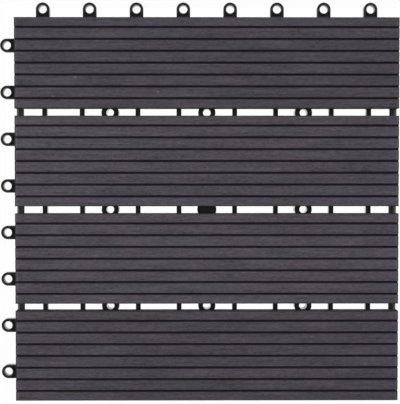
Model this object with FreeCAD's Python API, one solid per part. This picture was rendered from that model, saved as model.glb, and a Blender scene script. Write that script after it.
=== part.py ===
# Interlocking deck tile: grooved composite slats screwed onto a moulded base grid.
# The origin is the middle of the tile on the ground, +Z is up and the slats run along X.
# Loops stand out of the -X and +Y sides. Pegs that take a neighbour's loops hang inside
# the +X and -Y sides, each in a notch that the loop slides into.
import FreeCAD, Part
import math
import os

os.makedirs("parts", exist_ok=True)

# Slats
slat_count = 4
slat_length = 300.0
slat_width = 70.8
slat_thickness = 11.0
slat_gap = 5.6
slat_edge_radius = 1.0
slat_end_chamfer = 0.8
groove_count = 7
groove_pitch = 9.2
groove_width = 1.7
groove_depth = 1.8
groove_draft = 0.2          # each wall of a groove leans in by this much at its bottom
groove_lip = 0.3            # bevel along each edge of a groove

# Perimeter frame: a wall with a plate along its top, and a shallow channel along the plate
base_height = 11.0
frame_width = 5.6
frame_wall = 1.6
frame_plate = 1.8
frame_corner_radius = 2.0
channel_width = 2.4
channel_depth = 0.8

# Lattice of ribs, and braces that tie each post to the corners of its cell
rib_width = 3.9
rib_height = 7.0
rib_draft = 0.25            # each side of a rib leans in by this much at its foot
rib_offset = 22.0           # from a row of posts, or from the edge of the base
brace_width = 2.4
brace_height = 5.5

# Posts under the gaps between slats, which are also feet. The middle one is closed.
post_columns = 3
post_pitch = 76.4
post_diameter = 13.7
post_hole_diameter = 6.0
hub_diameter = 15.2
hub_rim = 1.5
hub_dish_depth = 1.0
hub_membrane = 2.0

# Loops, and the pegs and notches that a neighbour's loops fit
loop_count = 8              # along a side
loop_inset = 20.15          # from a corner of the base to the middle of the end loop
loop_hole_diameter = 6.4
loop_wall = 2.2
loop_lift = 1.0             # above the ground
loop_height = 5.5
loop_rim = 1.3
loop_ring_wall = 1.4
loop_web_recess = 1.5
loop_root_flare = 0.8       # on each side, where a loop leaves the frame
peg_clearance = 0.45        # radial, in a loop
peg_lift = 1.6              # tip of a peg above the ground
notch_clearance = 0.4       # round a loop

# Screws from below, one near each end of a slat, through pads on the last ribs
screw_shank_diameter = 3.5
screw_head_diameter = 6.8
screw_head_height = 2.2
screw_cover = 1.2           # slat left between a screw's point and the grooves
shank_clearance = 0.3       # radial, in the pad
pilot_clearance = 0.05      # radial, in the slat
pilot_run_out = 0.4         # pilot hole past the screw's point
pad_margin = 1.6            # pad beyond the screw's head

# Where things lie
slat_pitch = slat_width + slat_gap
base_length = slat_length
base_depth = slat_count * slat_pitch - slat_gap
base_half_x = base_length / 2
base_half_y = base_depth / 2
slat_rows = [(i - (slat_count - 1) / 2) * slat_pitch for i in range(slat_count)]
gap_rows = [y + slat_pitch / 2 for y in slat_rows[:-1]]
post_xs = [(i - (post_columns - 1) / 2) * post_pitch for i in range(post_columns)]
cut_margin = 1.0            # cutting solids run past the faces that they open

# Loops lie beside a neighbour's frame, under its plate, when the tiles stand one slat gap apart
loop_radius = loop_hole_diameter / 2 + loop_wall
loop_reach = slat_gap + frame_width / 2
loop_top = loop_lift + loop_height
peg_radius = loop_hole_diameter / 2 - peg_clearance
notch_radius = loop_radius + notch_clearance
notch_top = base_height - frame_plate

screw_seat = base_height - rib_height
screw_bite = slat_thickness - groove_depth - screw_cover
pad_half = screw_head_diameter / 2 + pad_margin

z_axis = FreeCAD.Vector(0, 0, 1)


def along_side(half):
    # Places of the loops, or of the pegs, spread evenly along a side.
    run = half - loop_inset
    return [run * (2 * i / (loop_count - 1) - 1) for i in range(loop_count)]


def beside(rows, half):
    # Places one rib offset to either side of each row, and inside the two edges.
    places = [half - rib_offset, rib_offset - half]
    for row in rows:
        places += [row - rib_offset, row + rib_offset]
    return sorted(places)


rib_xs = beside(post_xs, base_half_x)
rib_ys = beside(gap_rows, base_half_y)
screw_places = [(x, y) for x in (rib_xs[0], rib_xs[-1]) for y in slat_rows]


def outline(corners):
    # Closed wire in the XY plane through (x, y, radius) corners, with an arc at each radius.
    arcs = []
    ends = []
    for i, (x, y, radius) in enumerate(corners):
        corner = FreeCAD.Vector(x, y, 0)
        before = FreeCAD.Vector(*corners[i - 1][:2], 0) - corner
        after = FreeCAD.Vector(*corners[(i + 1) % len(corners)][:2], 0) - corner
        if radius == 0:
            ends.append((corner, corner))
            arcs.append(None)
            continue
        half_angle = before.getAngle(after) / 2
        before.normalize()
        after.normalize()
        run = radius / math.tan(half_angle)
        inward = (before + after).normalize()
        middle = corner + inward * (radius / math.sin(half_angle) - radius)
        ends.append((corner + before * run, corner + after * run))
        arcs.append(Part.Arc(ends[-1][0], middle, ends[-1][1]).toShape())
    edges = []
    for i, arc in enumerate(arcs):
        if arc:
            edges.append(arc)
        start = ends[i][1]
        finish = ends[(i + 1) % len(ends)][0]
        if start.distanceToPoint(finish) > 1e-6:
            edges.append(Part.LineSegment(start, finish).toShape())
    return Part.Wire(edges)


def prism(corners, bottom, top):
    # Upright solid on a plan outline.
    solid = Part.Face(outline(corners)).extrude(FreeCAD.Vector(0, 0, top - bottom))
    solid.translate(FreeCAD.Vector(0, 0, bottom))
    return solid


def beam(profile, length):
    # A (width, height) profile run along X, with its middle at the origin.
    solid = Part.Face(outline(profile)).extrude(FreeCAD.Vector(0, 0, length))
    solid.translate(FreeCAD.Vector(0, 0, -length / 2))
    solid.rotate(FreeCAD.Vector(), FreeCAD.Vector(1, 1, 1), 120)
    return solid


def slab(half_x, half_y, bottom, top, radius=0):
    # Upright block about the origin, with rounded upright corners.
    corners = [(-half_x, -half_y), (half_x, -half_y), (half_x, half_y), (-half_x, half_y)]
    return prism([(x, y, radius) for x, y in corners], bottom, top)


def band(outer_inset, inner_inset, bottom, top, radius=0):
    # Ring of even width that follows the edge of the base.
    outside = slab(base_half_x - outer_inset, base_half_y - outer_inset, bottom, top, radius)
    inside = slab(base_half_x - inner_inset, base_half_y - inner_inset,
                  bottom - cut_margin, top + cut_margin)
    return outside.cut(inside)


def rod(diameter, bottom, top, x=0, y=0):
    return Part.makeCylinder(diameter / 2, top - bottom, FreeCAD.Vector(x, y, bottom))


def joined(solids):
    return solids[0].multiFuse(solids[1:])


def on_side(solid, angle, edge, offset):
    # A feature modelled at an edge through the origin, facing +X, set on one side of the base.
    placed = solid.copy()
    placed.translate(FreeCAD.Vector(edge, offset, 0))
    placed.rotate(FreeCAD.Vector(), z_axis, angle)
    return placed


def slat_profile():
    half = slat_width / 2
    top = base_height + slat_thickness
    floor = top - groove_depth
    corners = [(half, base_height, 0), (half, top, slat_edge_radius)]
    mouth = groove_width / 2
    foot = mouth - groove_draft
    side = [(mouth + groove_lip, top), (mouth, top - groove_lip), (foot, floor)]
    for i in reversed(range(groove_count)):
        middle = (i - (groove_count - 1) / 2) * groove_pitch
        corners += [(middle + y, z, 0) for y, z in side]
        corners += [(middle - y, z, 0) for y, z in reversed(side)]
    return corners + [(-half, top, slat_edge_radius), (-half, base_height, 0)]


def slat(row):
    # One grooved slat, its top end edges eased, with pilot holes for its own screws.
    board = beam(slat_profile(), slat_length)
    half = slat_length / 2
    top = base_height + slat_thickness
    wedge = Part.makePolygon([
        FreeCAD.Vector(half - slat_end_chamfer, -slat_width, top + cut_margin),
        FreeCAD.Vector(half - slat_end_chamfer, -slat_width, top),
        FreeCAD.Vector(half, -slat_width, top - slat_end_chamfer),
        FreeCAD.Vector(half + cut_margin, -slat_width, top - slat_end_chamfer),
        FreeCAD.Vector(half + cut_margin, -slat_width, top + cut_margin),
        FreeCAD.Vector(half - slat_end_chamfer, -slat_width, top + cut_margin)])
    ease = Part.Face(wedge).extrude(FreeCAD.Vector(0, 2 * slat_width, 0))
    other_ease = ease.copy()
    other_ease.rotate(FreeCAD.Vector(), z_axis, 180)
    board = board.cut(ease).cut(other_ease)
    board.translate(FreeCAD.Vector(0, row, 0))
    pilots = [rod(screw_shank_diameter + 2 * pilot_clearance, base_height - cut_margin,
                  base_height + screw_bite + pilot_run_out, x, y)
              for x, y in screw_places if abs(y - row) < slat_width / 2]
    return board.cut(pilots)


def rib(x, y, length, angle, width, height):
    foot = base_height - height
    flank = width / 2
    solid = beam([(rib_draft - flank, foot, 0), (flank - rib_draft, foot, 0),
                  (flank, base_height, 0), (-flank, base_height, 0)], length)
    solid.rotate(FreeCAD.Vector(), z_axis, angle)
    solid.translate(FreeCAD.Vector(x, y, 0))
    return solid


def frame():
    wall = band(0, frame_wall, 0, base_height, frame_corner_radius)
    plate = band(0, frame_width, base_height - frame_plate, base_height, frame_corner_radius)
    return wall.fuse(plate)


def lattice():
    # Ribs run from wall to wall, so they also stiffen the frame's plate.
    ribs = [rib(0, y, base_length - frame_wall, 0, rib_width, rib_height) for y in rib_ys]
    ribs += [rib(x, 0, base_depth - frame_wall, 90, rib_width, rib_height) for x in rib_xs]
    brace_length = 2 * math.hypot(rib_offset, rib_offset)
    for x in post_xs:
        for y in gap_rows:
            for angle in (45, -45):
                ribs.append(rib(x, y, brace_length, angle, brace_width, brace_height))
    return ribs


def loop():
    # Flat tongue with a raised rim and a raised ring round its hole, facing +X.
    root = -frame_wall / 2
    tip = loop_reach + loop_radius
    root_half = loop_radius + loop_root_flare
    tongue = prism([(root, -root_half, 0), (0, -root_half, 0), (loop_root_flare, -loop_radius, 0),
                    (tip, -loop_radius, loop_radius), (tip, loop_radius, loop_radius),
                    (loop_root_flare, loop_radius, 0), (0, root_half, 0), (root, root_half, 0)],
                   loop_lift, loop_top)
    web_half = loop_radius - loop_rim
    pocket = prism([(0, -web_half, 0), (loop_reach, -web_half, 0),
                    (loop_reach, web_half, 0), (0, web_half, 0)],
                   loop_top - loop_web_recess, loop_top + cut_margin)
    ring_diameter = loop_hole_diameter + 2 * loop_ring_wall
    pocket = pocket.cut(rod(ring_diameter, loop_lift, loop_top + 2 * cut_margin, loop_reach))
    hole = rod(loop_hole_diameter, loop_lift - cut_margin, loop_top + cut_margin, loop_reach)
    return tongue.cut([pocket, hole])


def peg():
    # Round peg below the frame's plate.
    root = base_height - channel_depth - (frame_plate - channel_depth) / 2
    return rod(2 * peg_radius, peg_lift, root, -frame_width / 2)


def notch():
    # Space round a peg, open below and outwards up to the frame's plate, that a
    # neighbour's loop slides into.
    back = -frame_width / 2 - notch_radius
    return prism([(back, -notch_radius, 0), (cut_margin, -notch_radius, 0),
                  (cut_margin, notch_radius, 0), (back, notch_radius, 0)],
                 -cut_margin, notch_top)


def base_grid():
    shapes = [frame()] + lattice()
    cuts = [band((frame_width - channel_width) / 2, (frame_width + channel_width) / 2,
                 base_height - channel_depth, base_height + cut_margin)]
    for x, y in screw_places:
        pad = slab(pad_half, pad_half, screw_seat, base_height)
        pad.translate(FreeCAD.Vector(x, y, 0))
        shapes.append(pad)
        cuts.append(rod(screw_shank_diameter + 2 * shank_clearance,
                        screw_seat - cut_margin, base_height + cut_margin, x, y))
    for x in post_xs:
        for y in gap_rows:
            if math.hypot(x, y) > post_diameter:
                shapes.append(rod(post_diameter, 0, base_height, x, y))
                cuts.append(rod(post_hole_diameter, -cut_margin, base_height + cut_margin, x, y))
            else:
                dish = base_height - hub_dish_depth
                shapes.append(rod(hub_diameter, 0, base_height, x, y))
                cuts.append(rod(hub_diameter - 2 * hub_rim, dish, base_height + cut_margin, x, y))
                cuts.append(rod(post_hole_diameter, -cut_margin, dish - hub_membrane, x, y))
    pegs = []
    for edge, half, loop_angle, peg_angle in ((base_half_x, base_half_y, 180, 0),
                                              (base_half_y, base_half_x, 90, -90)):
        for offset in along_side(half):
            shapes.append(on_side(loop(), loop_angle, edge, offset))
            cuts.append(on_side(notch(), peg_angle, edge, offset))
            pegs.append(on_side(peg(), peg_angle, edge, offset))
    grid = joined(shapes).cut(cuts)
    return joined([grid] + pegs).removeSplitter()


def screw(x, y):
    # Screw pointing up, its head against the pad and its point inside the slat.
    head = rod(screw_head_diameter, screw_seat - screw_head_height, screw_seat, x, y)
    shank = rod(screw_shank_diameter, screw_seat, base_height + screw_bite, x, y)
    return head.fuse(shank)


nodes = {"base_grid": base_grid()}
for number, row in enumerate(slat_rows, 1):
    nodes["slat_" + str(number)] = slat(row)
nodes["slat_screws"] = Part.makeCompound([screw(x, y) for x, y in screw_places])

for name, shape in nodes.items():
    shape.exportStep("parts/" + name + ".step")
    print(name, len(shape.Solids), "solids,", round(shape.Volume / 1000, 1), "cm3, valid:",
          shape.isValid())
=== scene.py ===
import math
import bmesh
import bpy
from mathutils import Matrix, Vector


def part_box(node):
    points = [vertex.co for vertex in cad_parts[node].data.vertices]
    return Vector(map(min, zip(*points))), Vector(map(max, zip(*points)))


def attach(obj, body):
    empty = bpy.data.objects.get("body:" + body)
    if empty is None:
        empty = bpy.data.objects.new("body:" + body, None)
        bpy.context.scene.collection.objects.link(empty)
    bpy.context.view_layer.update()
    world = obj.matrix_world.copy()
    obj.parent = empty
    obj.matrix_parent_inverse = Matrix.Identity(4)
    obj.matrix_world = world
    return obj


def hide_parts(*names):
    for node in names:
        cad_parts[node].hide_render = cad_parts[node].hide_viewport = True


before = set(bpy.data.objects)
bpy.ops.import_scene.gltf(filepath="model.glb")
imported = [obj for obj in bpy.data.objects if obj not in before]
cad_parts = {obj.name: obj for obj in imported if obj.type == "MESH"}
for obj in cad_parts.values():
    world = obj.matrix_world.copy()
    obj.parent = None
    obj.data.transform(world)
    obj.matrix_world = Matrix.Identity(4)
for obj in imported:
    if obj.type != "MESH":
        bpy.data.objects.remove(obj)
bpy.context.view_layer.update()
mm = 0.001
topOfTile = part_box("slat_1")[1].z
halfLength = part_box("slat_1")[1].x
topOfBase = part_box("base_grid")[1].z
print("frame loaded:", ", ".join(sorted(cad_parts)))


# A socket that takes part in sums. Each sum adds its Math node.
class Wire:
    def __init__(self, bench, socket):
        self.bench = bench
        self.socket = socket

    def out(self, name):  # another output of the same node
        return Wire(self.bench, self.socket.node.outputs[name])

    def calc(self, operation, *values):
        return self.bench.add("ShaderNodeMath", {"operation": operation}, dict(enumerate(values)))

    def __add__(self, other):
        return self.calc("ADD", self, other)

    def __sub__(self, other):
        return self.calc("SUBTRACT", self, other)

    def __rsub__(self, other):
        return self.calc("SUBTRACT", other, self)

    def __mul__(self, other):
        return self.calc("MULTIPLY", self, other)

    def __truediv__(self, other):
        return self.calc("DIVIDE", self, other)

    def __neg__(self):
        return self.calc("MULTIPLY", self, -1)

    def __lt__(self, other):
        return self.calc("LESS_THAN", self, other)

    def __gt__(self, other):
        return self.calc("GREATER_THAN", self, other)

    __radd__ = __add__
    __rmul__ = __mul__

    def least(self, other):  # the smaller of the two
        return self.calc("MINIMUM", self, other)

    def most(self, other):  # the larger of the two
        return self.calc("MAXIMUM", self, other)

    def size(self):
        return self.calc("ABSOLUTE", self)

    def floor(self):
        return self.calc("FLOOR", self)

    def part(self):  # what is left past the whole number
        return self.calc("FRACT", self)

    def root(self):
        return self.calc("SQRT", self)

    def sine(self):
        return self.calc("SINE", self)

    def cosine(self):
        return self.calc("COSINE", self)

    def ease(self, low, high):  # 0 below low, 1 above high, smooth between
        values = {"Value": self, "From Min": low, "From Max": high}
        return self.bench.add("ShaderNodeMapRange", {"interpolation_type": "SMOOTHSTEP"}, values)


# A node tree, and the one method that adds a node to it
class Bench:
    def __init__(self, tree):
        self.tree = tree

    def add(self, kind, settings=None, values=None):
        node = self.tree.nodes.new(kind)
        for name, setting in (settings or {}).items():
            if name == "items":  # how many inputs an Index Switch has
                while len(node.index_switch_items) < setting:
                    node.index_switch_items.new()
            else:
                setattr(node, name, setting)
        for name, value in (values or {}).items():
            self.feed(node.inputs[name], value)
        shown = [output for output in node.outputs if output.enabled]
        return Wire(self, shown[0])

    def feed(self, socket, value):
        if isinstance(value, list):  # several links into one socket
            for one in value:
                self.tree.links.new(one.socket, socket)
        elif isinstance(value, Wire):
            self.tree.links.new(value.socket, socket)
        else:
            socket.default_value = value

    def xyz(self, x, y, z):
        return self.add("ShaderNodeCombineXYZ", {}, {0: x, 1: y, 2: z})

    def split(self, vector):
        node = self.add("ShaderNodeSeparateXYZ", {}, {0: vector})
        return node.out("X"), node.out("Y"), node.out("Z")

    def stretch(self, vector, factors):
        return self.add("ShaderNodeVectorMath", {"operation": "MULTIPLY"}, {0: vector, 1: factors})

    def blend(self, share, first, second, mode="MIX"):
        settings = {"data_type": "RGBA", "blend_type": mode, "clamp_factor": True}
        return self.add("ShaderNodeMix", settings, {0: share, 6: first, 7: second})

    def noise(self, place, cells, detail, roughness, distortion=0):
        values = {"Vector": self.stretch(place, cells), "Scale": 1, "Detail": detail,
                  "Roughness": roughness, "Distortion": distortion}
        return self.add("ShaderNodeTexNoise", {}, values)

    def pick(self, number, points):  # the (x, y) point of that number
        values = {0: number}
        for i, (x, y) in enumerate(points, 1):
            values[i] = self.xyz(x, y, 0)
        settings = {"data_type": "VECTOR", "items": len(points)}
        return self.add("GeometryNodeIndexSwitch", settings, values)


def mixture(waves, shares):
    return sum(waves[name] * share for name, share in shares.items())


def grey(level):
    return (level, level, level, 1)


def shade(red, green, blue):  # display values of 0 to 255, as a linear colour
    def linear(value):
        share = value / 255
        return share / 12.92 if share <= 0.04045 else ((share + 0.055) / 1.055) ** 2.4
    return (linear(red), linear(green), linear(blue), 1)


# Camera, as the photograph was taken: almost straight above, in metres and degrees
camera = {
    "place": (-0.0095, 0.0296, 0.8000),
    "tilt": (-1.722, -0.298, -0.015),
    "focalPixels": 997.0,
    "imageSize": (400, 404),
    "sensor": 36.0,
}


def cameraTurn():
    tiltX, tiltY, roll = (math.radians(angle) for angle in camera["tilt"])
    return (Matrix.Rotation(tiltX, 3, "X") @ Matrix.Rotation(tiltY, 3, "Y")
            @ Matrix.Rotation(roll, 3, "Z"))


def photoPoint(across, down, height):
    # Where the ray through a pixel of the photograph meets a level plane
    width, tall = camera["imageSize"]
    ray = cameraTurn() @ Vector(((across - width / 2) / camera["focalPixels"],
                                 (tall / 2 - down) / camera["focalPixels"], -1))
    place = Vector(camera["place"])
    return place + ray * ((height - place.z) / ray.z)


def setCamera():
    data = bpy.data.cameras.new("camera")
    data.sensor_width = camera["sensor"]
    data.lens = camera["focalPixels"] / max(camera["imageSize"]) * camera["sensor"]
    data.clip_start = 0.01
    data.clip_end = 20
    holder = bpy.data.objects.new("camera", data)
    bpy.context.scene.collection.objects.link(holder)
    holder.matrix_world = Matrix.Translation(camera["place"]) @ cameraTurn().to_4x4()
    bpy.context.scene.camera = holder


setCamera()
print("camera set")


def newFinish(name):
    # A material with its bench, its shader and the place on the piece
    material = bpy.data.materials.new(name)
    material.use_nodes = True
    bench = Bench(material.node_tree)
    shader = material.node_tree.nodes["Principled BSDF"]
    return material, bench, shader, bench.add("ShaderNodeTexCoord").out("Object")


def allNoises(bench, place, patterns):
    return {name: bench.noise(place, *pattern) for name, pattern in patterns.items()}


def dress(bench, shader, look, tone, roughness, relief):
    bump = bench.add("ShaderNodeBump", {}, {"Strength": look["bumpStrength"],
                                            "Distance": look["bumpDepth"], "Height": relief})
    bench.feed(shader.inputs["Base Color"], tone)
    bench.feed(shader.inputs["Roughness"], roughness)
    bench.feed(shader.inputs["Normal"], bump)


# Charcoal wood-plastic composite, brushed along its length. A pattern is its cells a metre
# along, across and up, its detail, roughness and distortion.
compositeFinish = {
    "violetTone": shade(79, 71, 80),
    "slateTone": shade(72, 70, 77),
    "grooveShadeTone": shade(26, 22, 30),
    "sideTone": shade(50, 47, 51),
    "endShadeTone": shade(40, 40, 42),
    "fleckTone": shade(128, 124, 126),
    "boardPitch": 76.4 * mm,
    "boardShade": (0.88, 0.965, 0.965, 0.845),  # painted shade, darker on the front and back boards, from the front to the back
    "boardSlate": (0.0, 0.0, 0.05, 0.22),
    "patterns": {
        "patches": ((22, 90, 90), 3, 0.55, 0.4),
        "clouds": ((7, 9, 9), 1, 0.5),
        "swells": ((22, 160, 160), 1, 0.4),
        "bands": ((30, 640, 640), 2, 0.5),
        "streaks": ((190, 1050, 1050), 2, 0.6),
        "hairs": ((260, 4200, 4200), 2, 0.6),
        "grain": ((1000, 1200, 1200), 2, 0.6),
        "fibres": ((260, 1300, 1300), 1, 0.4),
        "sawLines": ((300, 3600, 300), 2, 0.6),
    },
    "lightShares": {"bands": 0.85, "streaks": 1.25, "hairs": 0.15, "grain": 1.00, "clouds": 0.24,
                    "swells": 0.55},
    "lightOffset": 1.045,            # taken off, so that the light is about 1
    "lightLeast": 0.35,
    "reliefShares": {"bands": 0.3, "streaks": 0.5, "hairs": 0.5, "grain": 0.35},
    "sawRelief": 1.2,
    "sawContrast": 1.2,
    "slateRange": (0.25, 0.75),      # of the patches, from slate to violet
    "dullingAndShade": 0.8,                  # of the sides and underside, partly duller surface and partly painted shade, and of the ends, painted shade
    "sideFacing": (0.55, 0.9),       # of the normal, over which a face turns into a side
    "underFacing": (0.5, 0.9),
    "endFacing": (0.35, 0.65),
    "grooveStart": 0.02 * mm,        # below the ridges, where the painted shade of the grooves starts
    "grooveEnd": 0.35 * mm,
    "grooveReach": 2.5 * mm,
    "highlightInset": 1.5 * mm,            # of the painted highlight line across the ridges at each end
    "highlightWidth": 0.8 * mm,
    "highlightGain": 0.30,
    "endShadeInset": 1.1 * mm,           # of the painted shade along each end
    "endShadeFade": 0.3 * mm,
    "fibreRange": (0.73, 0.80),      # of the noise, above which a pale fibre shows
    "fibreStrength": 0.35,
    "speckPixels": [(53, 96.6), (75, 77), (158, 92), (180, 143)],
    "speckRadius": 0.9 * mm,         # across the slat
    "speckLength": 2,                # times its width
    "speckRaggedness": 1.6,
    "speckStrength": 0.5,
    "roughness": 0.60,
    "hairRoughness": 0.20,
    "patchRoughness": 0.06,
    "bumpStrength": 0.35,
    "bumpDepth": 0.12 * mm,
    "specularLevel": 0.16,
}


def compositeMaterial():
    look = compositeFinish
    material, bench, shader, place = newFinish("charcoalComposite")
    x, y, z = bench.split(place)
    normal = bench.add("ShaderNodeNewGeometry").out("Normal")
    normalX, normalY, normalZ = bench.split(normal)

    # Each board comes from another length, a little greyer than the next, and the front and back
    # boards are darker as painted shade
    board = (y / look["boardPitch"]).floor() + 2
    boardShade = 0
    boardSlate = 0
    for number, light in enumerate(look["boardShade"]):
        here = (board - number).size() < 0.5
        boardShade = boardShade + here * light
        boardSlate = boardSlate + here * look["boardSlate"][number]

    waves = allNoises(bench, place, look["patterns"])
    share = (waves["patches"].ease(*look["slateRange"]) - boardSlate).most(0)
    tone = bench.blend(share, look["slateTone"], look["violetTone"])
    light = mixture(waves, look["lightShares"]) - look["lightOffset"]
    light = light.most(look["lightLeast"]) * boardShade
    fromEnd = halfLength - x.size()
    # A painted highlight line across the ridges near each end
    lightening = 1 - ((fromEnd - look["highlightInset"]).size() / look["highlightWidth"]).ease(0.3, 1)
    light = light * (1 + look["highlightGain"] * lightening)

    # Duller on the sides and underside, partly their surface and partly painted shade; painted
    # shade on the sawn ends, and the darkest painted shade in the grooves
    side = normalY.size().ease(*look["sideFacing"])
    side = side.most((-normalZ).ease(*look["underFacing"]))
    tone = bench.blend(side * look["dullingAndShade"], tone, look["sideTone"])
    depth = topOfTile - z
    inGroove = depth.ease(look["grooveStart"], look["grooveEnd"]) * (depth < look["grooveReach"])
    sawn = normalX.size().ease(*look["endFacing"])
    tone = bench.blend(inGroove * (1 - side) * (1 - sawn), tone, look["grooveShadeTone"])
    # Painted shade on the sawn ends and chamfers, and in a narrow band at each end
    atEnd = 1 - fromEnd.ease(look["endShadeInset"] - look["endShadeFade"], look["endShadeInset"])
    tone = bench.blend(sawn.most(atEnd) * look["dullingAndShade"], tone, look["endShadeTone"])
    light = light * (1 + sawn * (waves["sawLines"] - 0.5) * look["sawContrast"])
    tone = bench.blend(1, tone, bench.xyz(light, light, light), "MULTIPLY")

    # Pale fibres anywhere on the ridges, and the specks where the photograph shows them
    fleck = waves["fibres"].ease(*look["fibreRange"]) * look["fibreStrength"]
    for across, down in look["speckPixels"]:
        spot = photoPoint(across, down, topOfTile)
        gapX = (x - spot.x) * (1 / look["speckLength"])
        gapY = y - spot.y
        distance = (gapX * gapX + gapY * gapY).root() / look["speckRadius"]
        reached = distance + (waves["grain"] - 0.5) * look["speckRaggedness"]
        fleck = fleck.most((1 - reached.ease(0.1, 1)) * look["speckStrength"])
    tone = bench.blend(fleck * (depth < look["grooveStart"]), tone, look["fleckTone"])

    roughness = look["roughness"] + look["hairRoughness"] * waves["hairs"]
    roughness = roughness + look["patchRoughness"] * waves["patches"]
    relief = mixture(waves, look["reliefShares"]) + look["sawRelief"] * sawn * waves["sawLines"]
    dress(bench, shader, look, tone, roughness, relief)
    shader.inputs["Specular IOR Level"].default_value = look["specularLevel"]
    return material


# Black moulded plastic with a fine satin texture, scuffed, with painted light on its level faces
# and on the frame's top and outer edge
mouldingFinish = {
    "deepTone": shade(17, 16, 19),
    "litAndScuffedTone": shade(56, 55, 58),
    "plateLightTone": shade(82, 81, 84),
    "rimLightTone": shade(110, 109, 110),
    "patterns": {
        "flow": ((55, 55, 120), 3, 0.55, 0.6),
        "satin": ((3400, 3400, 3400), 2, 0.6),
        "scuffs": ((420, 420, 420), 4, 0.7, 1.2),
    },
    "levelFacing": (0.5, 1),         # of the normal, over which a face turns level
    "levelLight": 0.34,
    "scuffRange": (0.55, 0.8),       # of the noise, where a scuff shows
    "scuffRub": 0.4,
    "flowRub": 0.2,
    "topFade": (1.2 * mm, 0.2 * mm),  # below the top of the base, where the painted light on the plate starts
    "rimWidth": 3.4 * mm,
    "rimFade": 1.8 * mm,
    "plateWidth": 5.6 * mm,
    "platePaleFrom": 2.4 * mm,       # from the edge
    "wallSkin": (0.8 * mm, 0.3 * mm),  # from the edge, where the outer wall starts
    "loopStart": 0.1 * mm,           # past the edge
    "plateShares": (0.75, 0.25),     # of its tone everywhere, and of what scuffs add
    "rimShares": (0.6, 0.5),
    "flowRelief": 0.6,
    "wallFacing": (0.2, 0.6),        # of the normal, over which a wall turns into a flat
    "wallCoat": 0.8,
    "outerCoatLoss": 0.65,
    "coatRoughness": 0.12,
    "roughness": 0.20,
    "flowRoughness": 0.16,
    "scuffRoughness": 0.14,
    "bumpStrength": 0.25,
    "bumpDepth": 0.05 * mm,
    "specularLevel": 0.08,
}


def mouldingMaterial():
    look = mouldingFinish
    material, bench, shader, place = newFinish("blackMoulding")
    x, y, z = bench.split(place)
    normal = bench.add("ShaderNodeNewGeometry").out("Normal")
    normalZ = bench.split(normal)[2]
    waves = allNoises(bench, place, look["patterns"])
    flow = waves["flow"]
    scuffs = waves["scuffs"]
    # Level faces paler as painted light; scuffs and flow lines paler in the plastic itself
    lightening = normalZ.ease(*look["levelFacing"]) * look["levelLight"]
    lightening = lightening + scuffs.ease(*look["scuffRange"]) * look["scuffRub"]
    lightening = lightening + flow * look["flowRub"]
    tone = bench.blend(lightening.least(1), look["deepTone"], look["litAndScuffedTone"])

    # The frame's top and its outer edge, paler as painted light, varied by the scuffs
    outward = x.size().most(y.size())
    onFrame = outward < halfLength + look["loopStart"]
    fadeStart, fadeEnd = (topOfBase - under for under in look["topFade"])
    onTop = z.ease(fadeStart, fadeEnd) * onFrame
    plateStart = halfLength - look["plateWidth"]
    onPlate = outward.ease(plateStart, halfLength - look["platePaleFrom"]) * onTop
    everywhere, scuffed = look["plateShares"]
    tone = bench.blend(onPlate * (everywhere + scuffed * scuffs), tone, look["plateLightTone"])
    rimStart = halfLength - look["rimWidth"]
    onRim = outward.ease(rimStart, rimStart + look["rimFade"]) * onTop
    everywhere, scuffed = look["rimShares"]
    tone = bench.blend(onRim * (everywhere + scuffed * scuffs), tone, look["rimLightTone"])

    roughness = look["roughness"] + look["flowRoughness"] * flow
    roughness = roughness + look["scuffRoughness"] * scuffs
    dress(bench, shader, look, tone, roughness, waves["satin"] + look["flowRelief"] * flow)

    # Upright walls slid off a polished mould, and only the frame's outer face is dull
    polished = 1 - normalZ.size().ease(*look["wallFacing"])
    skinStart, skinEnd = (halfLength - inset for inset in look["wallSkin"])
    outerFace = outward.ease(skinStart, skinEnd) * onFrame
    coat = polished * (look["wallCoat"] - look["outerCoatLoss"] * outerFace)
    bench.feed(shader.inputs["Coat Weight"], coat)
    shader.inputs["Coat Roughness"].default_value = look["coatRoughness"]
    shader.inputs["Specular IOR Level"].default_value = look["specularLevel"]
    return material


# Stainless steel of the screws, turned and lightly brushed
screwFinish = {
    "brightTone": grey(0.60),
    "dullTone": grey(0.42),
    "toneRange": (0.35, 0.7),        # of the clouds, from dull to bright
    "patterns": {
        "rings": ((900, 900, 9000), 2, 0.6),
        "clouds": ((500, 500, 500), 3, 0.6),
    },
    "roughness": 0.26,
    "ringRoughness": 0.16,
    "cloudRoughness": 0.10,
    "bumpStrength": 0.2,
    "bumpDepth": 0.02 * mm,
}


def screwMaterial():
    look = screwFinish
    material, bench, shader, place = newFinish("screwSteel")
    waves = allNoises(bench, place, look["patterns"])
    bright = waves["clouds"].ease(*look["toneRange"])
    tone = bench.blend(bright, look["dullTone"], look["brightTone"])
    roughness = look["roughness"] + look["ringRoughness"] * waves["rings"]
    roughness = roughness + look["cloudRoughness"] * waves["clouds"]
    dress(bench, shader, look, tone, roughness, waves["rings"])
    shader.inputs["Metallic"].default_value = 1
    return material


compositeMade = compositeMaterial()
mouldingMade = mouldingMaterial()
screwMade = screwMaterial()
print("finishes made")


def newTree(name, inputs):
    # A geometry tree with named inputs, and its group input as wires by name
    tree = bpy.data.node_groups.new(name, "GeometryNodeTree")
    kinds = {float: "NodeSocketFloat", int: "NodeSocketInt", tuple: "NodeSocketVector",
             bpy.types.Material: "NodeSocketMaterial"}
    for label, value in inputs.items():
        socket = tree.interface.new_socket(name=label, in_out="INPUT",
                                           socket_type=kinds[type(value)])
        socket.default_value = value
    tree.interface.new_socket(name="Geometry", in_out="OUTPUT",
                              socket_type="NodeSocketGeometry")
    bench = Bench(tree)
    entry = tree.nodes.new("NodeGroupInput")
    return bench, {label: Wire(bench, entry.outputs[label]) for label in inputs}


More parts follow.
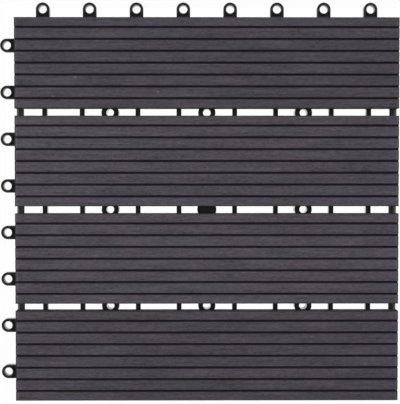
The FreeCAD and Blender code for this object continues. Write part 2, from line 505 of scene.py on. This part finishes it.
def closeTree(bench, geometry, material):
    whole = bench.add("GeometryNodeRealizeInstances", {}, {"Geometry": geometry})
    dressed = bench.add("GeometryNodeSetMaterial", {}, {"Geometry": whole, "Material": material})
    output = bench.tree.nodes.new("NodeGroupOutput")
    bench.feed(output.inputs["Geometry"], dressed)


def withModifier(piece, modifier):
    # The piece's mesh as the modifier leaves it. The modifier is removed.
    graph = bpy.context.evaluated_depsgraph_get()
    mesh = bpy.data.meshes.new_from_object(piece.evaluated_get(graph))
    piece.modifiers.remove(modifier)
    return mesh


def grow(name, tree, values):
    # Runs a tree with the given inputs and keeps the result as a plain mesh
    seed = bpy.data.objects.new(name, bpy.data.meshes.new(name))
    bpy.context.scene.collection.objects.link(seed)
    modifier = seed.modifiers.new("tree", "NODES")
    modifier.node_group = tree
    for item in tree.interface.items_tree:
        if item.in_out == "INPUT" and item.name in values:
            modifier[item.identifier] = values[item.name]
    seed.data = withModifier(seed, modifier)
    seed.data.name = name
    return seed


def tidyMesh(piece, sharpAngle):
    # Faces outwards, and smooth across edges flatter than the given angle
    work = bmesh.new()
    work.from_mesh(piece.data)
    bmesh.ops.recalc_face_normals(work, faces=work.faces)
    work.to_mesh(piece.data)
    work.free()
    piece.data.shade_smooth()
    piece.data.set_sharp_from_angle(angle=math.radians(sharpAngle))


def roundedEdge(radius, angles):
    # How far each point of a rounded edge lies in from the side and down from the top
    turns = [math.radians(angle) for angle in angles]
    return [(radius * (1 - math.sin(turn)), radius * (1 - math.cos(turn))) for turn in turns]


# Slats: one profile with seven grooves, run along X, its end edges eased and its lips worn
slatSizes = {
    "Grooves": 7,
    "Groove Pitch": 9.2 * mm,
    "Groove Width": 1.7 * mm,
    "Groove Depth": 1.8 * mm,
    "Wall Lean": 0.2 * mm,
    "Lip Radius": 0.3 * mm,
    "Foot Radius": 0.25 * mm,
    "Edge Radius": 1.0 * mm,
    "Under Radius": 0.3 * mm,
    "End Ease": 0.8 * mm,
    "Wear": 0.07 * mm,
    "Sections": 160,
    "Pilot Diameter": 3.6 * mm,
    "Pilot Depth": 8.4 * mm,
    "Pilot Inset": 22.0 * mm,
}


def slatTree():
    inputs = dict(slatSizes)
    inputs.update({"Length": 0.3, "Width": 0.07, "Thickness": 0.01, "Middle": (0.0, 0.0, 0.0),
                   "Seed": 1.0, "Material": compositeMade})
    bench, size = newTree("grooved slat", inputs)
    index = bench.add("GeometryNodeInputIndex")
    midArc = 0.3  # from its corner to a small rounding's middle, as a share of the radius

    # One groove across the slat, as offsets from its middle and from the ridges
    half = size["Groove Width"] / 2
    foot = half - size["Wall Lean"]
    lip = size["Lip Radius"]
    corner = size["Foot Radius"]
    deep = -size["Groove Depth"]
    leftHalf = [(half + lip, 0)]
    leftHalf += [(half + inward, -down) for inward, down in roundedEdge(lip, (30, 60))]
    leftHalf += [(half, -lip), (foot, deep + corner),
                 (foot - corner * midArc, deep + corner * midArc), (foot - corner, deep)]
    groovePoints = [(-y, z) for y, z in leftHalf] + list(reversed(leftHalf))
    perGroove = len(groovePoints)

    # The way back round the sides and the underside
    wide = size["Width"] / 2
    under = size["Under Radius"]
    low = -size["Thickness"]
    topEdge = roundedEdge(size["Edge Radius"], (0, 22.5, 45, 67.5, 90))
    rightSide = [(wide - inward, -down) for inward, down in topEdge]
    rightSide += [(wide, low + under), (wide - under * midArc, low + under * midArc),
                  (wide - under, low)]
    sidePoints = rightSide + [(-y, z) for y, z in reversed(rightSide)]

    grooveNumber = (index / perGroove).floor()
    inGroove = bench.pick(index - grooveNumber * perGroove, groovePoints)
    across = (grooveNumber - (size["Grooves"] - 1) / 2) * size["Groove Pitch"]
    onTop = bench.add("ShaderNodeVectorMath", {"operation": "ADD"},
                      {0: inGroove, 1: bench.xyz(across, 0, 0)})
    topCount = size["Grooves"] * perGroove
    onSide = bench.pick((index - topCount).most(0), sidePoints)
    place = bench.add("GeometryNodeSwitch", {"input_type": "VECTOR"},
                      {"Switch": index < topCount, "False": onSide, "True": onTop})
    line = bench.add("GeometryNodeMeshLine", {}, {"Count": topCount + len(sidePoints)})
    line = bench.add("GeometryNodeSetPosition", {}, {"Geometry": line, "Position": place})
    profile = bench.add("GeometryNodeMeshToCurve", {}, {0: line})
    profile = bench.add("GeometryNodeSetSplineCyclic", {}, {"Geometry": profile, "Cyclic": True})

    # Sections along the slat, close together where its ends are eased
    fromEnd = index.least(size["Sections"] - 1 - index)
    ease = size["End Ease"]
    endShares = (0, 0.1, 0.9, 1.15)  # places of the first sections, as shares of the easing
    plainFrom = len(endShares) - 1
    plainLength = size["Length"] - 2 * ease * endShares[-1]
    step = plainLength / (size["Sections"] - 1 - 2 * plainFrom)
    nearEnd = [(ease * share, 0) for share in endShares]
    run = bench.split(bench.pick(fromEnd.least(plainFrom), nearEnd))[0]
    run = run + (fromEnd - plainFrom).most(0) * step
    along = size["Length"] / 2 - run
    along = along * ((index * 2 > size["Sections"] - 1) * 2 - 1)
    path = bench.add("GeometryNodeMeshLine", {}, {"Count": size["Sections"]})
    path = bench.add("GeometryNodeSetPosition", {},
                     {"Geometry": path, "Position": bench.xyz(0, 0, along)})
    path = bench.add("GeometryNodeMeshToCurve", {}, {0: path})
    board = bench.add("GeometryNodeCurveToMesh", {},
                      {"Curve": path, "Profile Curve": profile, "Fill Caps": True})
    board = bench.add("GeometryNodeTransform", {},
                      {"Geometry": board, "Rotation": (math.pi / 2, 0, math.pi / 2)})
    board = bench.add("GeometryNodeFlipFaces", {}, {"Mesh": board})

    # The end easing is a slope that the ridges don't rise above
    here = bench.add("GeometryNodeInputPosition")
    x, y, z = bench.split(here)
    inset = size["Length"] / 2 - x.size()
    slope = (inset - ease).least(0)
    eased = bench.xyz(x, y, z.least(slope))
    board = bench.add("GeometryNodeSetPosition", {}, {"Geometry": board, "Position": eased})

    # Wear takes a little off, unevenly, in patches a few millimetres across
    normal = bench.add("GeometryNodeInputNormal")
    wearCells = (420, 420, 420)
    wearRange = (0.42, 0.75)
    values = {"Vector": bench.stretch(here, wearCells), "W": size["Seed"], "Scale": 1, "Detail": 3}
    rough = bench.add("ShaderNodeTexNoise", {"noise_dimensions": "4D"}, values)
    bite = -size["Wear"] * rough.ease(*wearRange)
    worn = bench.add("ShaderNodeVectorMath", {"operation": "SCALE"}, {0: normal, "Scale": bite})
    board = bench.add("GeometryNodeSetPosition", {}, {"Geometry": board, "Offset": worn})

    # Pilot holes for the two screws, by drills whose middles are at the underside
    reach = size["Length"] - 2 * size["Pilot Inset"]
    ends = bench.add("GeometryNodeMeshLine", {},
                     {"Count": 2, "Start Location": bench.xyz(reach / -2, 0, low),
                      "Offset": bench.xyz(reach, 0, 0)})
    drill = bench.add("GeometryNodeMeshCylinder", {},
                      {"Vertices": 32, "Radius": size["Pilot Diameter"] / 2,
                       "Depth": size["Pilot Depth"] * 2})
    drills = bench.add("GeometryNodeInstanceOnPoints", {}, {"Points": ends, "Instance": drill})
    board = bench.add("GeometryNodeMeshBoolean", {"operation": "DIFFERENCE", "solver": "EXACT"},
                      {"Mesh 1": board, "Mesh 2": drills})
    board = bench.add("GeometryNodeTransform", {},
                      {"Geometry": board, "Translation": size["Middle"]})
    closeTree(bench, board, size["Material"])
    return bench.tree


def makeSlats():
    tree = slatTree()
    for number in range(1, 5):
        node = "slat_" + str(number)
        low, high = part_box(node)
        values = {"Length": high.x - low.x, "Width": high.y - low.y, "Thickness": high.z - low.z,
                  "Middle": (0.0, (low.y + high.y) / 2, high.z), "Seed": float(number),
                  "Material": compositeMade}
        slat = grow("grooved_" + node, tree, values)
        tidyMesh(slat, sharpAngle=40)
        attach(slat, "root")
        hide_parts(node)
        print("slat", number, "has", len(slat.data.polygons), "faces")


makeSlats()


# Base grid: the moulding with its edges rounded as they leave the mould. Angles in degrees.
baseSizes = {
    "edgeRadius": 0.22 * mm,
    "edgeSteps": 2,
    "mergeDistance": 0.001 * mm,
    "flatAngle": 0.02,
    "edgeAngle": 30,
    "smoothAngle": 35,
}


def makeBase():
    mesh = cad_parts["base_grid"].data.copy()
    work = bmesh.new()
    work.from_mesh(mesh)
    bmesh.ops.remove_doubles(work, verts=work.verts, dist=baseSizes["mergeDistance"])
    bmesh.ops.dissolve_limit(work, angle_limit=math.radians(baseSizes["flatAngle"]),
                             verts=work.verts, edges=work.edges)
    work.to_mesh(mesh)
    work.free()
    base = bpy.data.objects.new("moulded_base", mesh)
    bpy.context.scene.collection.objects.link(base)
    bevel = base.modifiers.new("edges", "BEVEL")
    bevel.width = baseSizes["edgeRadius"]
    bevel.segments = baseSizes["edgeSteps"]
    bevel.limit_method = "ANGLE"
    bevel.angle_limit = math.radians(baseSizes["edgeAngle"])
    bevel.use_clamp_overlap = False
    rounded = withModifier(base, bevel)
    low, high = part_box("base_grid")
    work = bmesh.new()
    work.from_mesh(rounded)
    for point in work.verts:  # a rounded inner corner can stand a little proud
        point.co = [min(max(at, least), most) for at, least, most in zip(point.co, low, high)]
    bmesh.ops.triangulate(work, faces=work.faces)  # long faces cut later could leave slivers
    work.to_mesh(rounded)
    work.free()
    rounded.materials.clear()
    rounded.materials.append(mouldingMade)
    rounded.shade_smooth()
    rounded.set_sharp_from_angle(angle=math.radians(baseSizes["smoothAngle"]))
    base.data = rounded
    weights = base.modifiers.new("flats", "WEIGHTED_NORMAL")  # keeps flats flat beside the edges
    weights.keep_sharp = True
    base.data = withModifier(base, weights)
    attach(base, "root")
    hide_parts("base_grid")
    print("base has", len(base.data.polygons), "faces")


makeBase()


# Screws: pan heads with a cross recess, and a thread that runs up to the point
screwSizes = {
    "Head Diameter": 6.8 * mm,
    "Head Height": 2.2 * mm,
    "Thread Diameter": 3.5 * mm,
    "Core Diameter": 2.4 * mm,
    "Thread Pitch": 1.3 * mm,
    "Point Length": 2.6 * mm,
    "Plain Length": 1.2 * mm,
    "Recess Width": 1.0 * mm,
    "Recess Reach": 4.0 * mm,
    "Recess Depth": 1.3 * mm,
    "Sides": 28,
    "Thread Rows": 96,
}
# From the crown to the seat, as shares of the head's radius and height
screwHead = [(0, 0), (0.55, 0.02), (0.78, 0.12), (0.93, 0.32), (1, 0.6), (1, 0.94), (0.97, 1)]


def screwTree(places):
    inputs = dict(screwSizes)
    inputs.update({"Length": 0.017, "Spread": (0.2, 0.2, 0.0), "Foot": 0.0,
                   "Material": screwMade})
    bench, size = newTree("slat screw", inputs)

    # Rows of a turned shape, from the crown of the head to the point
    head = size["Head Diameter"] / 2
    tall = size["Head Height"]
    thread = size["Thread Diameter"] / 2
    core = size["Core Diameter"] / 2
    headRows = [(head * radius, tall * height) for radius, height in screwHead]
    headRows += [(thread, tall)]
    lastHeadRow = len(headRows) - 1
    sides = size["Sides"]
    index = bench.add("GeometryNodeInputIndex")
    rows = size["Thread Rows"] + len(headRows)
    turn = (index / rows).floor()
    row = index - turn * rows
    headRadius, headUp = bench.split(bench.pick(row.least(lastHeadRow), headRows))[:2]
    share = (row - lastHeadRow).most(0) / size["Thread Rows"]
    up = tall + share * (size["Length"] - tall)

    # The shank is full under the head, then threaded, and tapers to its point
    phase = (up / size["Thread Pitch"] - turn / sides).part()
    crest = 1 - (phase - 0.5).size() * 2
    crest = crest.ease(0.35, 0.95)
    left = size["Length"] - up
    taper = (left / size["Point Length"]).least(1)
    started = ((up - tall) / size["Plain Length"]).least(1).ease(0.6, 1)
    outer = core + (thread - core) * (crest * started).most(1 - started)
    shankRadius = outer * taper
    inShank = row > lastHeadRow + 0.5
    radius = headRadius + (shankRadius - headRadius) * inShank
    height = headUp + (up - headUp) * inShank
    angle = turn / sides * (2 * math.pi)
    spot = bench.xyz(radius * angle.cosine(), radius * angle.sine(), height)
    skin = bench.add("GeometryNodeMeshGrid", {}, {"Vertices X": sides + 1, "Vertices Y": rows})
    skin = bench.add("GeometryNodeSetPosition", {}, {"Geometry": skin.out("Mesh"),
                                                     "Position": spot})
    skin = bench.add("GeometryNodeMergeByDistance", {},
                     {"Geometry": skin, "Distance": 0.002 * mm})

    # Cross recess in the crown
    bar = bench.add("GeometryNodeMeshCube", {},
                    {"Size": bench.xyz(size["Recess Reach"], size["Recess Width"],
                                       size["Recess Depth"] * 2)})
    other = bench.add("GeometryNodeTransform", {},
                      {"Geometry": bar.out("Mesh"), "Rotation": (0, 0, math.pi / 2)})
    screw = bench.add("GeometryNodeMeshBoolean", {"operation": "DIFFERENCE", "solver": "EXACT"},
                      {"Mesh 1": skin, "Mesh 2": [bar.out("Mesh"), other]})

    # Two columns of screws, each turned by its own angle
    spreadX, spreadY = bench.split(size["Spread"])[:2]
    points = bench.add("GeometryNodeMeshGrid", {}, {"Size X": spreadX, "Size Y": spreadY,
                                                    "Vertices X": 2, "Vertices Y": places // 2})
    turns = bench.add("FunctionNodeRandomValue", {"data_type": "FLOAT"},
                      {"Min": 0.0, "Max": 1.5, "Seed": 3})
    screws = bench.add("GeometryNodeInstanceOnPoints", {},
                       {"Points": points.out("Mesh"), "Instance": screw,
                        "Rotation": bench.xyz(0, 0, turns)})
    screws = bench.add("GeometryNodeTransform", {},
                       {"Geometry": screws, "Translation": bench.xyz(0, 0, size["Foot"])})
    closeTree(bench, screws, size["Material"])
    return bench.tree


def makeScrews():
    low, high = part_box("slat_screws")
    across = high - low
    spread = (across.x - screwSizes["Head Diameter"], across.y - screwSizes["Head Diameter"], 0.0)
    tree = screwTree(places=8)
    values = {"Length": across.z, "Spread": spread, "Foot": low.z, "Material": screwMade}
    screws = grow("slat_screws_threaded", tree, values)
    tidyMesh(screws, sharpAngle=35)
    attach(screws, "root")
    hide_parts("slat_screws")
    print("screws have", len(screws.data.polygons), "faces")


makeScrews()


# Floor, world and lamps. The camera sees the background as white.
studio = {
    "floorSize": 6.0,
    "floorTone": grey(0.86),
    "floorRoughness": 0.8,
    "floorGlow": 0.94,
    "underMargin": 10 * mm,          # past the slats' ends, where the floor still shows white
    "skyLevel": 0.60,
    "keyPlace": (0.55, 0.75, 1.25),
    "keySize": 1.1,
    "keyPower": 7.5,
    "sidePlace": (-0.50, 0.0, 0.42),
    "sideSize": 0.35,
    "sidePower": 1.2,
}


def backgroundRays(bench):
    # 1 for rays that show the background, and 0 for those that carry its light
    path = bench.add("ShaderNodeLightPath")
    shown = path.out("Is Camera Ray").most(path.out("Is Glossy Ray"))
    return path, shown.most(path.out("Is Transmission Ray"))


def makeFloor():
    half = studio["floorSize"] / 2
    mesh = bpy.data.meshes.new("floor")
    corners = [(-half, -half, 0), (half, -half, 0), (half, half, 0), (-half, half, 0)]
    mesh.from_pydata(corners, [], [(0, 1, 2, 3)])
    floor = bpy.data.objects.new("floor", mesh)
    bpy.context.scene.collection.objects.link(floor)
    material, bench, shader, place = newFinish("paleFloor")
    shader.inputs["Base Color"].default_value = studio["floorTone"]
    shader.inputs["Roughness"].default_value = studio["floorRoughness"]
    x, y = bench.split(place)[:2]
    reach = halfLength + studio["underMargin"]
    under = (x.size() < reach) * (y.size() < reach)
    path, shown = backgroundRays(bench)
    share = shown * (studio["floorGlow"] + (1 - studio["floorGlow"]) * under)
    glow = bench.add("ShaderNodeEmission", {}, {"Color": grey(1), "Strength": 1})
    surface = Wire(bench, shader.outputs["BSDF"])
    both = bench.add("ShaderNodeMixShader", {}, {0: share, 1: surface, 2: glow})

    # From below it doesn't hide the tile, and soft light comes up through it under the tile
    clear = bench.add("ShaderNodeBsdfTransparent")
    below = bench.add("ShaderNodeNewGeometry").out("Backfacing") * path.out("Is Camera Ray")
    onward = below.most(under * (1 - shown))
    both = bench.add("ShaderNodeMixShader", {}, {0: onward, 1: both, 2: clear})
    output = material.node_tree.nodes["Material Output"]
    bench.feed(output.inputs["Surface"], both)
    mesh.materials.append(material)


def makeSky():
    world = bpy.data.worlds.new("studio")
    bpy.context.scene.world = world
    world.use_nodes = True
    world.node_tree.nodes.clear()
    bench = Bench(world.node_tree)
    shown = backgroundRays(bench)[1]
    strength = studio["skyLevel"] + shown * (1 - studio["skyLevel"])
    sky = bench.add("ShaderNodeBackground", {}, {"Color": grey(1), "Strength": strength})
    output = world.node_tree.nodes.new("ShaderNodeOutputWorld")
    bench.feed(output.inputs["Surface"], sky)


def makeLamp(name):
    data = bpy.data.lights.new(name, "AREA")
    data.energy = studio[name + "Power"]
    data.size = studio[name + "Size"]
    lamp = bpy.data.objects.new(name, data)
    bpy.context.scene.collection.objects.link(lamp)
    place = Vector(studio[name + "Place"])
    towardsTile = place.to_track_quat("Z", "Y").to_matrix().to_4x4()
    lamp.matrix_world = Matrix.Translation(place) @ towardsTile


makeFloor()
makeSky()
makeLamp("key")
makeLamp("side")
bpy.context.scene.view_settings.view_transform = "Standard"
print("studio lit")
